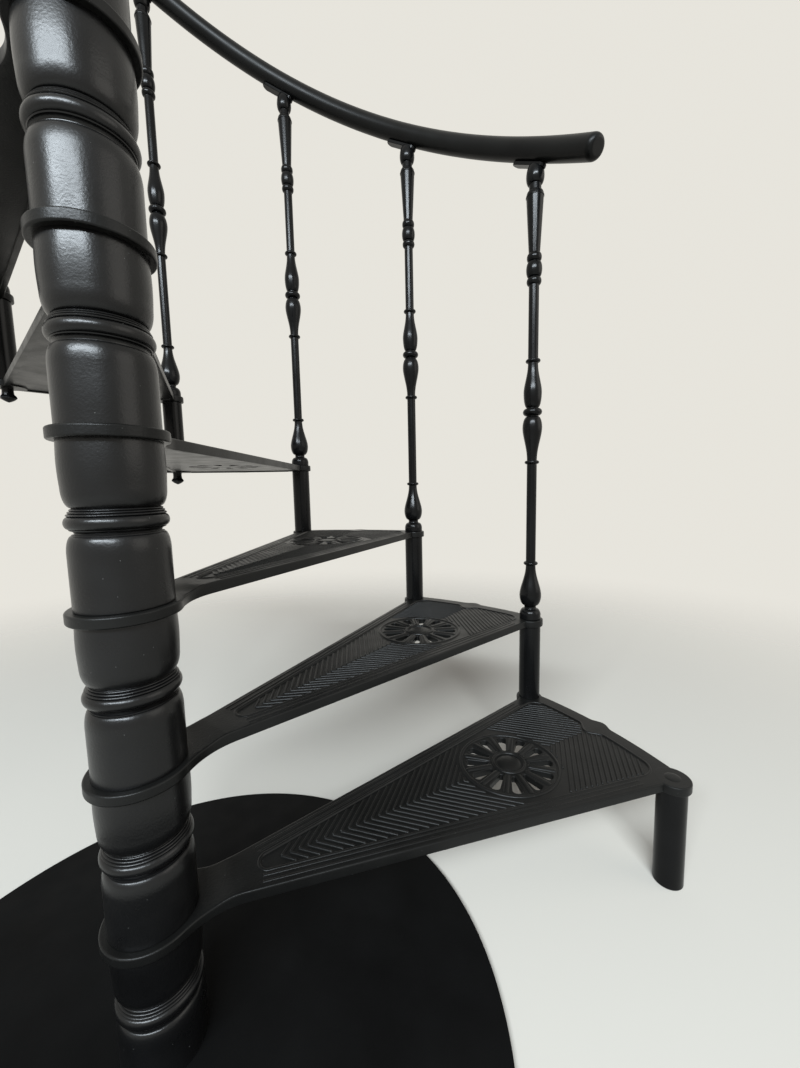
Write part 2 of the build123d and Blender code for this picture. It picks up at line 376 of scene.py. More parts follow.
def paint(name, dark, light, rough, grain, specular, specks=0.0):
    """Black paint on metal: uneven tone and gloss, a grain in relief and a few pale specks.

    The roughness is given as (low, high), the grain as (scale, depth in metres) and the specks by
    their size.
    """
    tone_scale, gloss_scale, speck_scale = 9.0, 26.0, 90.0
    wave_scale, wave_depth = 0.2, 0.35
    speck_colour = (0.10, 0.10, 0.095)
    material = bpy.data.materials.new(name)
    material.use_nodes = True
    tree = material.node_tree
    shader = tree.nodes["Principled BSDF"]
    shader.inputs["Specular IOR Level"].default_value = specular
    place = tree.nodes.new("ShaderNodeTexCoord").outputs["Object"]

    tone = blend(tree, dark, light)
    link(tree, spread(tree, noise(tree, place, tone_scale, 6.0), 0, 1), tone.inputs["Factor"])
    colour = tone.outputs["Result"]
    if specks:
        cells = tree.nodes.new("ShaderNodeTexVoronoi")
        cells.inputs["Scale"].default_value = speck_scale
        link(tree, place, cells.inputs["Vector"])
        near = tree.nodes.new("ShaderNodeMath")
        near.operation = "LESS_THAN"
        near.inputs[1].default_value = specks
        link(tree, cells.outputs["Distance"], near.inputs[0])
        chipped = blend(tree, dark, speck_colour)
        link(tree, near.outputs["Value"], chipped.inputs["Factor"])
        link(tree, colour, chipped.inputs["A"])
        colour = chipped.outputs["Result"]
    link(tree, colour, shader.inputs["Base Color"])

    gloss = spread(tree, noise(tree, place, gloss_scale, 4.0), *rough)
    link(tree, gloss, shader.inputs["Roughness"])

    scale, depth = grain
    fine = relief(tree, noise(tree, place, scale, 2.0), depth)
    waves = relief(tree, noise(tree, place, wave_scale * scale, 2.0), wave_depth * depth)
    link(tree, fine.outputs["Normal"], waves.inputs["Normal"])
    link(tree, waves.outputs["Normal"], shader.inputs["Normal"])
    return material


CAST_PAINT = paint(
    "cast_paint",
    dark=(0.002, 0.002, 0.0021),
    light=(0.005, 0.005, 0.0052),
    rough=(0.26, 0.34),
    grain=(380.0, 0.00015),
    specular=0.28,
    specks=0.035,
)
TREAD_PAINT = paint(
    "tread_paint",
    dark=(0.004, 0.004, 0.0038),
    light=(0.008, 0.008, 0.0076),
    rough=(0.28, 0.40),
    grain=(420.0, 0.00018),
    specular=0.15,
    specks=0.03,
)
BALUSTER_PAINT = paint(
    "baluster_paint",
    dark=(0.002, 0.002, 0.002),
    light=(0.005, 0.005, 0.0052),
    rough=(0.19, 0.26),
    grain=(500.0, 0.00003),
    specular=0.14,
)
RAIL_PAINT = paint(
    "rail_paint",
    dark=(0.003, 0.003, 0.0029),
    light=(0.006, 0.006, 0.0056),
    rough=(0.30, 0.38),
    grain=(700.0, 0.00005),
    specular=0.12,
)
FLAT_PAINT = paint(
    "flat_paint",
    dark=(0.002, 0.002, 0.002),
    light=(0.004, 0.004, 0.004),
    rough=(0.55, 0.70),
    grain=(500.0, 0.0001),
    specular=0.06,
)


# Finished pieces
def mesh_from(shape, name, material, sharp=38.0):
    """A mesh in metres from a shape in millimetres, smooth but for its corners."""
    bmesh.ops.recalc_face_normals(shape, faces=shape.faces)
    shape.transform(Matrix.Scale(METRES, 4))
    mesh = bpy.data.meshes.new(name)
    shape.to_mesh(mesh)
    shape.free()
    mesh.shade_smooth()
    mesh.set_sharp_from_angle(angle=math.radians(sharp))
    mesh.materials.append(material)
    return mesh


def show(name, mesh, place, slot, *nodes):
    """Put a mesh in the scene as a piece of the staircase, in place of the nodes named."""
    place = place.copy()
    place.translation *= METRES
    mesh = mesh.copy()
    mesh.transform(place)
    piece = bpy.data.objects.new(name, mesh)
    bpy.context.scene.collection.objects.link(piece)
    flats = piece.modifiers.new("flats", "WEIGHTED_NORMAL")
    flats.keep_sharp = True
    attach(piece, "root")
    if nodes:
        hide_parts(*nodes)


def merge(shapes):
    """One shape of several, each given with its placing in millimetres."""
    whole = bmesh.new()
    for shape, place in shapes:
        shape.transform(place)
        scratch = bpy.data.meshes.new("scratch")
        shape.to_mesh(scratch)
        shape.free()
        whole.from_mesh(scratch)
        bpy.data.meshes.remove(scratch)
    return whole


# Turned work, given as steps upwards of (rise, radius reached)
def profile(radius, base, steps):
    """The (radius, height) points of a turned outline from its bottom."""
    points = [(radius, base)]
    for rise, reached in steps:
        points.append((reached, points[-1][1] + rise))
    return points


def lathe(points, sides):
    """A closed shape turned about the Z axis through (radius, height) points."""
    shape = bmesh.new()
    rings = []
    for radius, height in points:
        ring = []
        for k in range(sides):
            a = 2 * math.pi * k / sides
            ring.append(shape.verts.new((radius * math.cos(a), radius * math.sin(a), height)))
        rings.append(ring)
    close_round(shape, rings)
    return shape


def close_round(shape, rings):
    """Walls between neighbouring rings of vertices, and a face on the first and on the last."""
    for lower, upper in zip(rings, rings[1:]):
        for a, b, c, d in zip(lower, lower[1:] + lower[:1], upper[1:] + upper[:1], upper):
            shape.faces.new((a, b, c, d))
    shape.faces.new(rings[0])
    shape.faces.new(rings[-1])


def bead(stem, widest, height, count):
    """A half-round ring on a stem, or a hollow where widest is less."""
    steps = []
    for k in range(1, count + 1):
        a, b = math.pi * (k - 1) / count, math.pi * k / count
        rise = height * (math.cos(a) - math.cos(b)) / 2
        steps.append((rise, stem + (widest - stem) * math.sin(b)))
    return steps


def swell(neck, widest, height, count):
    """A quarter round from a neck out to the widest point."""
    steps = []
    for k in range(1, count + 1):
        a, b = math.pi * (k - 1) / count / 2, math.pi * k / count / 2
        rise = height * (math.cos(a) - math.cos(b))
        steps.append((rise, neck + (widest - neck) * math.sin(b)))
    return steps


def taper(widest, thin, height, count=14):
    """A vase's long side, from its widest point in to the shaft in an easy double curve."""
    steps = []
    for k in range(1, count + 1):
        fall = (1 - math.cos(math.pi * (k / count) ** 0.85)) / 2
        steps.append((height / count, widest - (widest - thin) * fall))
    return steps


def upside_down(steps, radius):
    """The same steps from the other end, ending at the radius that they began with."""
    reached = [radius] + [step[1] for step in steps[:-1]]
    return [(step[0], end) for step, end in zip(reversed(steps), reversed(reached))]


def sleeve_steps(height):
    """A sleeve: lower barrel, shoulder, cove, lip, bead, three fine rings and upper barrel."""
    lower = SHOULDER_START + height - SLEEVE_HEIGHT
    upper = height - lower - SHAPED_HEIGHT
    rings = [step for stem, ring, rise in FINE_RINGS for step in bead(stem, ring, rise, 6)]
    belly = []
    for k in range(1, BELLY_STEPS + 1):
        bulge = math.sin(math.pi * k / BELLY_STEPS)
        radius = BARREL_RADIUS + (BELLY_RADIUS - BARREL_RADIUS) * bulge
        belly.append((upper / BELLY_STEPS, radius))
    return [
        (SLEEVE_EASE, BARREL_RADIUS),
        (lower - SLEEVE_EASE, BARREL_RADIUS),
        *upside_down(swell(LEDGE_RADIUS, BARREL_RADIUS, SHOULDER_HEIGHT, 12), LEDGE_RADIUS),
        (0.9, LEDGE_RADIUS),
        (0.5, COVE_RADIUS),
        *upside_down(swell(LIP_FOOT_RADIUS, COVE_RADIUS, COVE_HEIGHT, 8), LIP_FOOT_RADIUS),
        (1.0, LIP_RADIUS),
        (0.3, BEAD_STEM_RADIUS),
        *bead(BEAD_STEM_RADIUS, BEAD_RADIUS, BEAD_HEIGHT, 14),
        *rings,
        (0.8, SLEEVE_NECK_RADIUS),
        *swell(SLEEVE_NECK_RADIUS, BARREL_RADIUS, FOOT_ROUND_HEIGHT, 12),
        *belly,
    ]


for number in range(1, TREAD_COUNT + 2):
    foot = FLOOR_PLATE_THICKNESS if number == 1 else (number - 1) * RISER - HUB_DROP
    height = number * RISER - TREAD_DEPTH - foot
    turned = lathe(profile(BARREL_RADIUS - SLEEVE_EASE, 0, sleeve_steps(height)), COLUMN_SIDES)
    mesh = mesh_from(turned, f"sleeve_mesh_{number}", CAST_PAINT)
    show(f"sleeve_{number}", mesh, around(0, 0, foot), "column", f"column_sleeve_{number}")

cap_face = CAP_RADIUS - CAP_EASE
cap_edge = swell(cap_face, CAP_RADIUS, CAP_EASE, 5)
cap_steps = [
    *cap_edge,
    (CAP_THICKNESS - 2 * CAP_EASE, CAP_RADIUS),
    *upside_down(cap_edge, cap_face),
    *upside_down(swell(CROWN_RADIUS, cap_face, CAP_DOME_HEIGHT, 16), CROWN_RADIUS),
]
cap = mesh_from(lathe(profile(cap_face, 0, cap_steps), COLUMN_SIDES), "cap_mesh", CAST_PAINT)
cap_place = around(0, 0, TREAD_COUNT * RISER + FULL_HEIGHT)
show("cap", cap, cap_place, "column", "column_cap")

plate_foot, plate_face = PLATE_RADIUS - PLATE_FOOT_EASE, PLATE_RADIUS - PLATE_TOP_EASE
plate_steps = [
    *swell(plate_foot, PLATE_RADIUS, PLATE_FOOT_EASE, 4),
    (FLOOR_PLATE_THICKNESS - PLATE_FOOT_EASE - PLATE_TOP_EASE, PLATE_RADIUS),
    *upside_down(swell(plate_face, PLATE_RADIUS, PLATE_TOP_EASE, 5), plate_face),
]
plate = mesh_from(lathe(profile(plate_foot, 0, plate_steps), PLATE_SIDES), "plate_mesh", FLAT_PAINT)
show("round_plate", plate, STILL, "floor_plate", "floor_plate")


# Balusters
def baluster_steps():
    """A baluster's steps from its seat to the middle of its ball, and the height of its cut head."""
    ring = bead(SHAFT_RADIUS, SHAFT_RING, RING_HEIGHT, 10)
    cone_top = swell(CONE_TOP_RADIUS, CONE_RADIUS, CONE_TOP_HEIGHT, 6)
    low = [
        *swell(CUP_RADIUS - CUP_EASE, CUP_RADIUS, CUP_EASE, 4),
        (CUP_WALL, CUP_RADIUS),
        *upside_down(swell(CUP_TOP_RADIUS, CUP_RADIUS, CUP_SHOULDER, 8), CUP_TOP_RADIUS),
        *bead(CUP_TOP_RADIUS, CUP_HOLLOW_RADIUS, CUP_HOLLOW_HEIGHT, 8),
        *swell(LOW_VASE_FOOT_RADIUS, LOW_VASE_RADIUS, LOW_VASE_SWELL, 10),
        *taper(LOW_VASE_RADIUS, SHAFT_RADIUS, LOW_VASE_TAPER),
        *ring,
        (LOWER_SHAFT, SHAFT_RADIUS),
        *ring,
        *upside_down(
            taper(MIDDLE_VASE_RADIUS, SHAFT_RADIUS, MIDDLE_VASE_TAPER), MIDDLE_VASE_RADIUS
        ),
        *upside_down(
            swell(KNOT_STEM_RADIUS, MIDDLE_VASE_RADIUS, MIDDLE_VASE_SWELL, 10), KNOT_STEM_RADIUS
        ),
        (KNOT_STEM_HEIGHT, KNOT_STEM_RADIUS),
        *bead(KNOT_STEM_RADIUS, KNOT_RADIUS, KNOT_HEIGHT, 12),
        (KNOT_STEM_HEIGHT, KNOT_STEM_RADIUS),
        *swell(KNOT_STEM_RADIUS, HIGH_VASE_RADIUS, HIGH_VASE_SWELL, 10),
        *taper(HIGH_VASE_RADIUS, SHAFT_RADIUS, HIGH_VASE_TAPER),
        *ring,
    ]
    high = [
        *bead(COLLAR_FOOT_RADIUS, COLLAR_RADIUS, COLLAR_HEIGHT, 12),
        *bead(COLLAR_GROOVE_RADIUS, COLLAR_BALL_RADIUS, COLLAR_BALL_HEIGHT, 14),
        *bead(COLLAR_GROOVE_RADIUS, COLLAR_RADIUS, COLLAR_HEIGHT, 12),
        (0.5, CONE_FOOT_RADIUS),
        (CONE_HEIGHT, CONE_RADIUS),
        *bead(CONE_RADIUS, CONE_RIM_RADIUS, CONE_RIM_HEIGHT, 6),
        *upside_down(cone_top, CONE_TOP_RADIUS),
        (HEAD_NECK_HEIGHT, HEAD_NECK_RADIUS),
        *swell(HEAD_NECK_RADIUS, BALL_RADIUS, BALL_SWELL, 9),
    ]
    head = RAIL_HEIGHT - SEAT_DROP
    shaft = head - BALL_DROP - sum(step[0] for step in low + high)
    return low + [(shaft, SHAFT_RADIUS)] + high, head


steps, head = baluster_steps()
crown = upside_down(swell(BALL_CROWN_RADIUS, BALL_RADIUS, BALL_CROWN, 12), BALL_CROWN_RADIUS)
turned = lathe(profile(CUP_RADIUS - CUP_EASE, 0, steps + crown), BALUSTER_SIDES)
parts = turned.verts[:] + turned.edges[:] + turned.faces[:]
slope_up = (0, -math.sin(RAIL_SLOPE), math.cos(RAIL_SLOPE))
cut = bmesh.ops.bisect_plane(
    turned, geom=parts, plane_co=(0, 0, head), plane_no=slope_up, clear_outer=True
)
cut_edges = [part for part in cut["geom_cut"] if isinstance(part, bmesh.types.BMEdge)]
bmesh.ops.edgeloop_fill(turned, edges=cut_edges)
baluster = mesh_from(turned, "baluster_mesh", BALUSTER_PAINT)
for number in range(1, BALUSTER_COUNT + 1):
    seat = around(baluster_angle(number), BALUSTER_CIRCLE, (number + 1) * RISER)
    show(f"turned_baluster_{number}", baluster, seat, "balusters", f"baluster_{number}")


# Posts, leg and fasteners
def post():
    """A plain round post between two treads, its ends eased."""
    face = SPACER_RADIUS - SPACER_EASE
    rounded = swell(face, SPACER_RADIUS, SPACER_EASE, 4)
    wall = (FULL_HEIGHT - 2 * SPACER_EASE, SPACER_RADIUS)
    return lathe(profile(face, 0, [*rounded, wall, *upside_down(rounded, face)]), POST_SIDES)


def acorn_nut():
    """A domed nut that hangs under a corner, its top at height 0."""
    collar = lathe(profile(*NUT_COLLAR), NUT_SIDES)
    hexagon = lathe(profile(*NUT_HEXAGON), 6)
    tip = lathe(profile(*NUT_TIP), NUT_SIDES)
    return merge([(collar, STILL), (hexagon, STILL), (tip, STILL)])


posts, nuts = [], []
for number in range(1, BALUSTER_COUNT + 1):
    posts.append((post(), around(baluster_angle(number), BALUSTER_CIRCLE, number * RISER)))
    under = number * RISER - TREAD_DEPTH
    nuts.append((acorn_nut(), around(baluster_angle(number), BALUSTER_CIRCLE, under)))
posts_mesh = mesh_from(merge(posts), "posts_mesh", BALUSTER_PAINT)
show("round_posts", posts_mesh, STILL, "posts", "spacer_posts")
nuts_mesh = mesh_from(merge(nuts), "nuts_mesh", BALUSTER_PAINT, sharp=30.0)
show("acorn_nuts", nuts_mesh, STILL, "posts")
leg = mesh_from(post(), "leg_mesh", BALUSTER_PAINT)
show("round_leg", leg, around(baluster_angle(0), BALUSTER_CIRCLE, 0), "posts", "corner_leg")

bolt_dome = upside_down(swell(BOLT_CROWN_RADIUS, BOLT_RADIUS, BOLT_DOME, 8), BOLT_CROWN_RADIUS)
bolt_steps = [(BOLT_EDGE, BOLT_RADIUS), *bolt_dome]
bolt = mesh_from(
    lathe(profile(BOLT_FOOT_RADIUS, 0, bolt_steps), NUT_SIDES), "bolt_mesh", TREAD_PAINT
)
bolt_place = around(baluster_angle(0), BALUSTER_CIRCLE, RISER - BOLT_SINK)
show("bolt_head", bolt, bolt_place, "posts")


# Treads: flat outlines, as lists of (x, y), with the middle line along +X
def edge_point(along, offset, side):
    """A point along the ray from the axis that a straight edge is parallel to, offset outwards.

    The side is 1 for the edge at +Y and -1 for the other.
    """
    x = along * math.cos(EDGE_ANGLE) - offset * math.sin(EDGE_ANGLE)
    y = along * math.sin(EDGE_ANGLE) + offset * math.cos(EDGE_ANGLE)
    return Vector((x, side * y))


def arc(centre, start, end, count):
    """Points on an arc, from one point to another the short way about a centre."""
    first, last = start - centre, end - centre
    sweep = math.atan2(first.x * last.y - first.y * last.x, first.dot(last))
    radius = first.length
    begin = math.atan2(first.y, first.x)
    points = []
    for k in range(count + 1):
        a = begin + sweep * k / count
        points.append(centre + Vector((radius * math.cos(a), radius * math.sin(a))))
    return points


def polar(radius, angle):
    """A point by its distance and its angle in radians from the axis."""
    return Vector((radius * math.cos(angle), radius * math.sin(angle)))


def crossing_angle(reach, radius, distance):
    """The angle at the axis between a circle's centre and the point where it cuts an arc.

    The arc is about the axis with the radius reach, and the circle's centre is at the distance.
    """
    return math.acos((reach**2 + distance**2 - radius**2) / (2 * reach * distance))


def mirrored(half):
    """A closed outline from its upper half, which runs from the hub outwards."""
    lower = [Vector((p.x, -p.y)) for p in reversed(half) if abs(p.y) > 1e-6]
    return half + lower


def nose_bulge(y, half_width):
    """The share of the nose's reach at a distance off the middle line."""
    return (1 + math.cos(math.pi * min(1.0, y / half_width))) / 2


def outer_edge(reach, tip, half_width, limit, count):
    """An outer edge from an angle down to the middle line, with its low rounded point."""
    points = []
    for k in range(count + 1):
        y = reach * math.sin(limit * (1 - k / count))
        x = math.sqrt(reach**2 - y**2) + tip * nose_bulge(y, half_width)
        points.append(Vector((x, y)))
    return points


def tread_outline():
    """The outline of a tread without its hub ring, from inside the column to the outer edge."""
    reach = HUB_RADIUS + NECK_RADIUS
    along = math.sqrt(reach**2 - (EDGE_PAST_AXIS + NECK_RADIUS) ** 2)
    neck = edge_point(along, EDGE_PAST_AXIS + NECK_RADIUS, 1)
    on_hub = neck * (HUB_RADIUS / reach)
    on_edge = edge_point(along, EDGE_PAST_AXIS, 1)
    corner = polar(BALUSTER_CIRCLE, HALF_TURN)
    boss_along = BALUSTER_CIRCLE - math.sqrt(BOSS_RADIUS**2 - EDGE_PAST_HOLE**2)
    boss_in = edge_point(boss_along, EDGE_PAST_AXIS, 1)
    limit = HALF_TURN - crossing_angle(OUTER_RADIUS, BOSS_RADIUS, BALUSTER_CIRCLE)
    boss_side = corner + polar(BOSS_RADIUS, HALF_TURN + math.radians(BOSS_SIDE_ANGLE))
    half = [
        *[Vector(point) for point in INSIDE_COLUMN],
        *arc(neck, on_hub, on_edge, 24),
        *arc(corner, boss_in, boss_side, 14)[:-1],
        *arc(corner, boss_side, polar(OUTER_RADIUS, limit), 10)[:-1],
        *outer_edge(OUTER_RADIUS, NOSE_REACH, NOSE_HALF_WIDTH, limit, 60),
    ]
    return mirrored(half)


def panel_corner():
    """The centre of the panel's round outer corner, and its distance along the straight edge."""
    reach = OUTER_RADIUS - PANEL_OUTER_BORDER - PANEL_CORNER
    offset = EDGE_PAST_AXIS - PANEL_BORDER - PANEL_CORNER
    along = math.sqrt(reach**2 - offset**2)
    return edge_point(along, offset, 1), along


def panel_outline():
    """The outline of the sunk panel: round start, straight sides, round corners, outer line."""
    offset = EDGE_PAST_AXIS - PANEL_BORDER
    start_along = (PANEL_START + PANEL_START_RADIUS) / math.cos(EDGE_ANGLE)
    side_start = edge_point(start_along, offset, 1)
    start_centre = Vector((side_start.x, 0))
    half = []
    for k in range(9):
        a = math.pi - math.pi / 2 * k / 8
        x, y = PANEL_START_RADIUS * math.cos(a), side_start.y * math.sin(a)
        half.append(start_centre + Vector((x, y)))
    reach = OUTER_RADIUS - PANEL_OUTER_BORDER
    centre, along = panel_corner()
    on_arc = centre * (reach / (reach - PANEL_CORNER))
    limit = math.atan2(on_arc.y, on_arc.x)
    half += arc(centre, edge_point(along, offset, 1), on_arc, 14)[:-1]
    half += outer_edge(reach, -PANEL_NOSE_INSET, PANEL_NOSE_HALF_WIDTH, limit, 50)
    return mirrored(half)


def pocket_outline():
    """The outline of the pocket underneath, clear of the bosses."""
    offset = EDGE_PAST_AXIS - RIM_WIDTH
    reach = OUTER_RADIUS - RIM_WIDTH
    corner = polar(BALUSTER_CIRCLE, HALF_TURN)
    lift = offset - (EDGE_PAST_AXIS - EDGE_PAST_HOLE)
    boss_in = edge_point(BALUSTER_CIRCLE - math.sqrt(BOSS_WEB**2 - lift**2), offset, 1)
    limit = HALF_TURN - crossing_angle(reach, BOSS_WEB, BALUSTER_CIRCLE)
    half = [
        edge_point(HUB_WEB, offset, 1),
        *arc(corner, boss_in, polar(reach, limit), 14)[:-1],
        *outer_edge(reach, 0.0, NOSE_HALF_WIDTH, limit, 40),
    ]
    return mirrored(half)


def slot_outlines():
    """The outlines of the rosette's slots, wider and rounder at the outer end."""
    points = []
    for k in range(9):
        a = math.pi / 2 - math.pi * k / 8
        x = SLOT_OUTER - SLOT_OUTER_ROUND + SLOT_OUTER_ROUND * math.cos(a)
        points.append(Vector((x, SLOT_OUTER_HALF * math.sin(a))))
    for k in range(7):
        a = -math.pi / 2 - math.pi * k / 6
        x = SLOT_INNER + SLOT_INNER_ROUND + SLOT_INNER_ROUND * math.cos(a)
        points.append(Vector((x, SLOT_INNER_HALF * math.sin(a))))
    outlines = []
    for n in range(SLOT_COUNT):
        turn = Matrix.Rotation(2 * math.pi * n / SLOT_COUNT, 2)
        outlines.append([Vector((ROSETTE_AT, 0)) + turn @ p for p in points])
    return outlines


def inset(points, distance):
    """A closed outline moved inwards by a distance, or outwards where it is negative."""
    following = points[1:] + points[:1]
    turning = sum(a.x * b.y - a.y * b.x for a, b in zip(points, following))
    side = 1 if turning > 0 else -1
    moved = []
    for before, here, after in zip(points[-1:] + points[:-1], points, following):
        come, go = (here - before).normalized(), (after - here).normalized()
        normal = Vector((-(come.y + go.y), come.x + go.x)).normalized() * side
        lean = max(0.5, normal.dot(Vector((-come.y, come.x)) * side))
        moved.append(here + normal * (distance / lean))
    return moved


def add_rows(shape, outline, rows):
    """Walls through copies of an outline, given as (inset, height); the first and last loops."""
    loops = []
    for away, height in rows:
        loops.append([shape.verts.new((p.x, p.y, height)) for p in inset(outline, away)])
    for lower, upper in zip(loops, loops[1:]):
        for a, b, c, d in zip(lower, lower[1:] + lower[:1], upper[1:] + upper[:1], upper):
            shape.faces.new((a, b, c, d))
    return loops[0], loops[-1]


def add_flat(shape, *loops):
    """A flat face between an outer loop and the loops inside it."""
    verts = [v for loop in loops for v in loop]
    for triangle in tessellate_polygon([[v.co for v in loop] for loop in loops]):
        shape.faces.new([verts[i] for i in triangle])


def add_ridge(shape, path, base, half_width, height, closed=False):
    """A rounded ridge along a path of (x, y) points, low at its ends unless it is closed."""
    sections = []
    last = len(path) - 1
    for k, here in enumerate(path):
        before = path[k - 1] if k > 0 or closed else here
        after = path[(k + 1) % len(path)] if k < last or closed else here
        along = (after - before).normalized()
        across = Vector((-along.y, along.x))
        share = RIDGE_END if not closed and k in (0, last) else 1.0
        section = []
        for n in range(RIDGE_SIDES + 1):
            a = math.pi * n / RIDGE_SIDES
            p = here + across * (half_width * math.cos(a))
            z = base - RIDGE_ROOT + (height * share + RIDGE_ROOT) * math.sin(a)
            section.append(shape.verts.new((p.x, p.y, z)))
        sections.append(section)
    pairs = list(zip(sections, sections[1:])) + ([(sections[-1], sections[0])] if closed else [])
    for one, two in pairs:
        for n in range(RIDGE_SIDES + 1):
            m = (n + 1) % (RIDGE_SIDES + 1)
            shape.faces.new((one[n], one[m], two[m], two[n]))
    if not closed:
        shape.faces.new(sections[0])
        shape.faces.new(sections[-1])


def on_panel(point, margin):
    """Whether a point lies on the panel, clear of its edge and of the rosette."""
    offset = EDGE_PAST_AXIS - PANEL_BORDER - margin
    across = abs(point.y) * math.cos(EDGE_ANGLE) - point.x * math.sin(EDGE_ANGLE)
    reach = OUTER_RADIUS - PANEL_OUTER_BORDER - margin
    bulge = nose_bulge(abs(point.y), PANEL_NOSE_HALF_WIDTH)
    round_at = offset - PANEL_CORNER
    centre = edge_point(math.sqrt((reach - PANEL_CORNER) ** 2 - round_at**2), round_at, 1)
    corner = Vector((point.x - centre.x, abs(point.y) - centre.y))
    past = across > round_at and corner.dot(centre) > 0
    return (
        across < offset
        and point.length < reach - PANEL_NOSE_INSET * bulge
        and (point - Vector((ROSETTE_AT, 0))).length > ROSETTE_CLEAR
        and not (past and corner.length > PANEL_CORNER)
    )


def add_ribs(shape, first, last, way):
    """Ribs at 45 degrees from the middle line to both sides, pointing along or against +X."""
    apex = first
    while apex <= last:
        for side in (1, -1):
            run = []
            for k in range(RIB_STEPS):
                y = RIB_STEP * k
                point = Vector((apex + way * y, side * y))
                beyond = (point.x - ROSETTE_AT) * way
                if on_panel(point, RIB_MARGIN) and beyond < 0:
                    run.append(point)
                elif run:
                    break
            if len(run) > RIB_SHORTEST:
                path = [run[0], run[3], run[-4], run[-1]]
                add_ridge(shape, path, -PANEL_SINK, RIB_HALF_WIDTH, RIB_HEIGHT)
        apex += RIB_PITCH


def lower_hub(shape):
    """Let the tread's top down by the hub's drop near the column, with an easy ramp."""
    for k in range(RAMP_STEPS + 1):
        x = RAMP_START + (RAMP_END - RAMP_START) * k / RAMP_STEPS
        parts = shape.verts[:] + shape.edges[:] + shape.faces[:]
        bmesh.ops.bisect_plane(shape, geom=parts, plane_co=(x, 0, 0), plane_no=(1, 0, 0))
    for vert in shape.verts:
        if vert.co.z > -TREAD_DEPTH / 2:
            share = min(1.0, max(0.0, (RAMP_END - vert.co.x) / (RAMP_END - RAMP_START)))
            vert.co.z -= HUB_DROP * share * share * (3 - 2 * share)


def add_casting(shape, panel):
    """The tread's closed body: sides, sunk panel, slots right through and pocket underneath."""
    side_top, side_foot = add_rows(shape, tread_outline(), SIDE_ROWS)
    panel_top, panel_floor = add_rows(shape, panel, PANEL_ROWS)
    slot_loops = [add_rows(shape, slot, SLOT_ROWS) for slot in slot_outlines()]
    pocket_top, pocket_foot = add_rows(shape, pocket_outline(), POCKET_ROWS)
    add_flat(shape, side_top, panel_top)
    add_flat(shape, panel_floor, *[upper for upper, lower in slot_loops])
    add_flat(shape, pocket_top, *[lower for upper, lower in slot_loops])
    add_flat(shape, side_foot, pocket_foot)


def add_relief(shape, panel):
    """The ridges on a tread: edge lines, the line round the panel, ribs and rosette."""
    starts = (EDGE_LINE_START, EDGE_LINE_START + EDGE_LINE_EASE)
    ends = (EDGE_LINE_END - EDGE_LINE_EASE, EDGE_LINE_END)
    for line in EDGE_LINES:
        for side in (1, -1):
            path = [edge_point(x, EDGE_PAST_AXIS - line, side) for x in starts + ends]
            add_ridge(shape, path, 0, EDGE_LINE_HALF_WIDTH, EDGE_LINE_HEIGHT)
    around_panel = inset(panel, -PANEL_LINE_OUT)
    add_ridge(shape, around_panel, 0, PANEL_LINE_HALF_WIDTH, PANEL_LINE_HEIGHT, closed=True)
    add_ribs(shape, PANEL_START + FIRST_RIB, ROSETTE_AT - RIBS_FROM_ROSETTE, 1)
    add_ribs(shape, ROSETTE_AT + RIBS_FROM_ROSETTE, OUTER_RADIUS + RIBS_PAST_EDGE, -1)

    centre = Vector((ROSETTE_AT, 0))
    for radius, half_width, height in ROSETTE_RINGS:
        turns = [2 * math.pi * k / ROSETTE_SIDES for k in range(ROSETTE_SIDES)]
        circle = [centre + polar(radius, a) for a in turns]
        add_ridge(shape, circle, -PANEL_SINK, half_width, height, closed=True)
    for n in range(SLOT_COUNT):
        a = 2 * math.pi * (n + 0.5) / SLOT_COUNT
        spoke = [centre + polar(r, a) for r in SPOKE_RADII]
        add_ridge(shape, spoke, -PANEL_SINK, SPOKE_HALF_WIDTH, SPOKE_HEIGHT)


def drum(face_radius, radius, ease, height, sides):
    """A round drum with eased edges, a little proud of the casting's foot and top; its height is
    that of the casting there.
    """
    edge = swell(face_radius, radius, ease, 5)
    steps = [*edge, (height + 2 * DRUM_PROUD - 2 * ease, radius), *upside_down(edge, face_radius)]
    return lathe(profile(face_radius, -TREAD_DEPTH - DRUM_PROUD, steps), sides)


tread_plate = bmesh.new()
panel = panel_outline()
add_casting(tread_plate, panel)
add_relief(tread_plate, panel)
lower_hub(tread_plate)
hub_height = TREAD_DEPTH - HUB_DROP
hub_ring = drum(HUB_RADIUS - HUB_EASE, HUB_RADIUS, HUB_EASE, hub_height, COLUMN_SIDES)
tread_pieces = [(tread_plate, STILL), (hub_ring, STILL)]
for side in (1, -1):
    boss = drum(BOSS_FACE_RADIUS, BOSS_DRUM_RADIUS, BOSS_EASE, TREAD_DEPTH, BOSS_SIDES)
    tread_pieces.append((boss, around(side * TURN / 2, BALUSTER_CIRCLE, 0)))
dome_steps = upside_down(swell(CROWN_RADIUS, DOME_RADIUS, DOME_HEIGHT, 8), CROWN_RADIUS)
hub_dome = lathe(profile(DOME_RADIUS, -PANEL_SINK - DOME_SINK, dome_steps), DOME_SIDES)
tread_pieces.append((hub_dome, around(0, ROSETTE_AT, 0)))
tread = mesh_from(merge(tread_pieces), "tread_mesh", TREAD_PAINT)
for number in range(1, TREAD_COUNT + 1):
    at = around(tread_angle(number), 0, number * RISER)
    show(f"cast_tread_{number}", tread, at, "treads", f"tread_{number}")


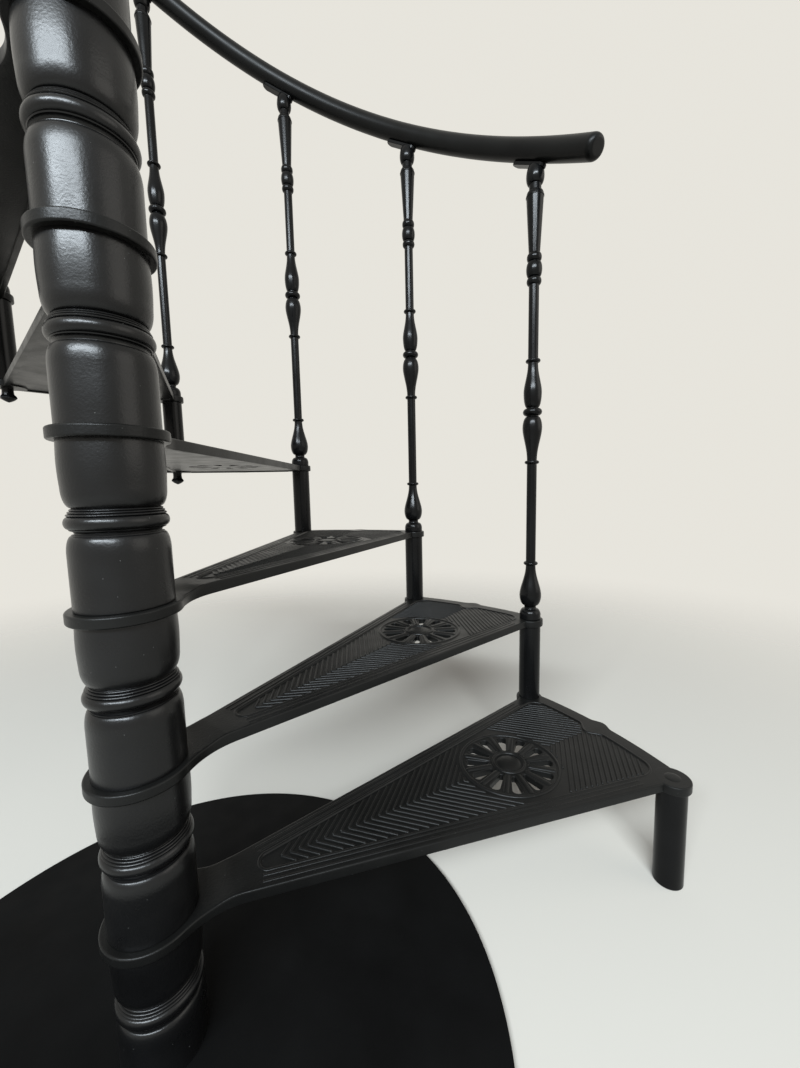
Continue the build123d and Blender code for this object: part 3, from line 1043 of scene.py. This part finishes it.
# The handrail: a round bar along a helix, with rounded ends
def rail_point(angle):
    """The point on the handrail's centre line in a direction from the axis, in degrees."""
    height = (angle - LEG_ANGLE) / TURN * RISER + RISER + RAIL_HEIGHT
    a = math.radians(angle)
    return Vector((BALUSTER_CIRCLE * math.cos(a), BALUSTER_CIRCLE * math.sin(a), height))


def tube(sections, sides):
    """A closed round bar through sections of (centre, direction, radius)."""
    shape = bmesh.new()
    rings = []
    for centre, direction, radius in sections:
        level = Vector((0, 0, 1)).cross(direction).normalized()
        upright = direction.cross(level)
        ring = []
        for k in range(sides):
            a = 2 * math.pi * k / sides
            out = level * math.cos(a) + upright * math.sin(a)
            ring.append(shape.verts.new(centre + radius * out))
        rings.append(ring)
    close_round(shape, rings)
    return shape


def rail_sections():
    """The handrail's sections from its lower end to its upper end."""
    span = math.degrees(RAIL_OVERRUN / BALUSTER_CIRCLE)
    trim = math.degrees(RAIL_TOP_TRIM / BALUSTER_CIRCLE)
    low, high = baluster_angle(1) - span, baluster_angle(BALUSTER_COUNT) + span - trim
    sections = []
    for k in range(RAIL_STEPS + 1):
        angle = low + (high - low) * k / RAIL_STEPS
        direction = (rail_point(angle + 0.01) - rail_point(angle - 0.01)).normalized()
        sections.append((rail_point(angle), direction, RAIL_RADIUS))
    first, last = sections[0], sections[-1]
    rounding = []
    for k in range(1, 9):
        a = math.pi / 2 * k / 8
        radius = RAIL_RADIUS - RAIL_END_ROUND * (1 - math.cos(a))
        rounding.append((RAIL_END_LENGTH * math.sin(a), radius))
    rounding.append((RAIL_END_LENGTH - RAIL_END_DISH, RAIL_END_RADIUS))
    for reach, radius in rounding:
        sections.insert(0, (first[0] - first[1] * reach, first[1], radius))
        sections.append((last[0] + last[1] * reach, last[1], radius))
    return sections


rail = mesh_from(tube(rail_sections(), RAIL_SIDES), "rail_mesh", RAIL_PAINT)
show("round_rail", rail, STILL, "handrail", "handrail")


def bracket_shape():
    """A flat bracket with round ends and its screw, its top at height 0 and its length along Y."""
    half, straight = BRACKET_WIDTH / 2, (BRACKET_LENGTH - BRACKET_WIDTH) / 2
    outline = []
    for end in (1, -1):
        for k in range(13):
            a = math.pi * k / 12
            x, y = half * math.cos(a), straight + half * math.sin(a)
            outline.append(Vector((end * x, end * y)))
    rows = [
        (BRACKET_TOP_EASE, 0),
        (0, -BRACKET_TOP_EASE),
        (0, BRACKET_FOOT_EASE - BRACKET_DEPTH),
        (BRACKET_FOOT_EASE, -BRACKET_DEPTH),
    ]
    shape = bmesh.new()
    upper, lower = add_rows(shape, outline, rows)
    add_flat(shape, upper)
    add_flat(shape, lower)
    screw_steps = swell(CROWN_RADIUS, SCREW_RADIUS, SCREW_DOME, 8) + [(SCREW_ROOT, SCREW_RADIUS)]
    screw = lathe(profile(CROWN_RADIUS, -BRACKET_DEPTH - SCREW_HEIGHT, screw_steps), SCREW_SIDES)
    downhill = Matrix.Translation((0, -SCREW_DOWNHILL - BRACKET_SHIFT, 0))
    return merge([(shape, STILL), (screw, downhill)])


brackets = []
for number in range(1, BALUSTER_COUNT + 1):
    on_rail = (number + 1) * RISER + RAIL_HEIGHT
    at = around(baluster_angle(number), BALUSTER_CIRCLE, on_rail)
    tilt = Matrix.Rotation(RAIL_SLOPE, 4, "X")
    shift = Matrix.Translation((0, BRACKET_SHIFT, -RAIL_RADIUS - BRACKET_GAP))
    brackets.append((bracket_shape(), at @ tilt @ shift))
bracket_mesh = mesh_from(merge(brackets), "brackets_mesh", BALUSTER_PAINT)
show("flat_brackets", bracket_mesh, STILL, "handrail", "rail_brackets")


# Floor, light and camera
def floor_material():
    """A plain pale floor that fades into the background far from the staircase."""
    material = bpy.data.materials.new("pale_floor")
    material.use_nodes = True
    tree = material.node_tree
    shader = tree.nodes["Principled BSDF"]
    shader.inputs["Base Color"].default_value = (*FLOOR_COLOUR, 1)
    shader.inputs["Roughness"].default_value = 0.9
    shader.inputs["Specular IOR Level"].default_value = 0.1
    place = tree.nodes.new("ShaderNodeTexCoord").outputs["Object"]
    length = tree.nodes.new("ShaderNodeVectorMath")
    length.operation = "LENGTH"
    link(tree, place, length.inputs[0])
    fade = tree.nodes.new("ShaderNodeMapRange")
    fade.interpolation_type = "SMOOTHSTEP"
    fade.inputs["From Min"].default_value = FLOOR_FADE[0]
    fade.inputs["From Max"].default_value = FLOOR_FADE[1]
    link(tree, length.outputs["Value"], fade.inputs["Value"])
    clear = tree.nodes.new("ShaderNodeBsdfTransparent")
    mix = tree.nodes.new("ShaderNodeMixShader")
    link(tree, fade.outputs["Result"], mix.inputs["Fac"])
    link(tree, shader.outputs["BSDF"], mix.inputs[1])
    link(tree, clear.outputs["BSDF"], mix.inputs[2])
    link(tree, mix.outputs["Shader"], tree.nodes["Material Output"].inputs["Surface"])
    return material


floor_shape = bmesh.new()
floor_radius = FLOOR_REACH / METRES
bmesh.ops.create_circle(floor_shape, cap_ends=True, segments=FLOOR_SIDES, radius=floor_radius)
floor = bpy.data.objects.new("floor", mesh_from(floor_shape, "floor_mesh", floor_material()))
bpy.context.scene.collection.objects.link(floor)
floor.location.z = -FLOOR_SINK

world = bpy.data.worlds.new("studio")
world.use_nodes = True
bpy.context.scene.world = world
sky = world.node_tree
seen = sky.nodes.new("ShaderNodeBackground")
seen.inputs["Color"].default_value = (*BACKGROUND_COLOUR, 1)
light = sky.nodes["Background"]
light.inputs["Color"].default_value = (*SKY_COLOUR, 1)
light.inputs["Strength"].default_value = SKY_STRENGTH
rays = sky.nodes.new("ShaderNodeLightPath")
either = sky.nodes.new("ShaderNodeMath")
either.operation = "MAXIMUM"
link(sky, rays.outputs["Is Camera Ray"], either.inputs[0])
link(sky, rays.outputs["Is Glossy Ray"], either.inputs[1])
any_of_three = sky.nodes.new("ShaderNodeMath")
any_of_three.operation = "MAXIMUM"
link(sky, either.outputs["Value"], any_of_three.inputs[0])
link(sky, rays.outputs["Is Transmission Ray"], any_of_three.inputs[1])
pick = sky.nodes.new("ShaderNodeMixShader")
link(sky, any_of_three.outputs["Value"], pick.inputs["Fac"])
link(sky, light.outputs["Background"], pick.inputs[1])
link(sky, seen.outputs["Background"], pick.inputs[2])
link(sky, pick.outputs["Shader"], sky.nodes["World Output"].inputs["Surface"])


def lamp(name, azimuth, elevation, distance, size, power, colour):
    """A soft light that looks at the staircase from a direction in degrees; size in metres."""
    data = bpy.data.lights.new(name, "AREA")
    data.shape = "RECTANGLE"
    data.size, data.size_y = size
    data.energy = power
    data.color = colour
    source = bpy.data.objects.new(name, data)
    bpy.context.scene.collection.objects.link(source)
    a, e = math.radians(azimuth), math.radians(elevation)
    away = Vector((math.cos(e) * math.cos(a), math.cos(e) * math.sin(a), math.sin(e)))
    source.location = Vector(LIGHTS_AIM) + away * distance
    source.rotation_euler = away.to_track_quat("Z", "Y").to_euler()


lamp(
    "key",
    azimuth=-101,
    elevation=33,
    distance=5.5,
    size=(5.0, 0.65),
    power=730,
    colour=(0.84, 0.93, 1.0),
)
lamp(
    "fill",
    azimuth=-15,
    elevation=18,
    distance=5.5,
    size=(3.5, 3.5),
    power=60,
    colour=(1.0, 0.96, 0.9),
)

camera_data = bpy.data.cameras.new("camera")
camera_data.sensor_fit = "HORIZONTAL"
camera_data.sensor_width = SENSOR_WIDTH
camera_data.lens = FOCAL_PIXELS / IMAGE_WIDTH * SENSOR_WIDTH
camera = bpy.data.objects.new("camera", camera_data)
bpy.context.scene.collection.objects.link(camera)
yaw, pitch, roll = (math.radians(angle) for angle in (CAMERA_YAW, CAMERA_PITCH, CAMERA_ROLL))
ahead = (math.cos(pitch) * math.cos(yaw), math.cos(pitch) * math.sin(yaw), -math.sin(pitch))
forward = Vector(ahead)
level = Vector((math.sin(yaw), -math.cos(yaw), 0))
upright = level.cross(forward)
right = math.cos(roll) * level + math.sin(roll) * upright
up = math.cos(roll) * upright - math.sin(roll) * level
facing = Matrix((right, up, -forward)).transposed().to_4x4()
camera.matrix_world = Matrix.Translation(CAMERA_PLACE) @ facing
bpy.context.scene.camera = camera
bpy.context.scene.view_settings.view_transform = "Standard"
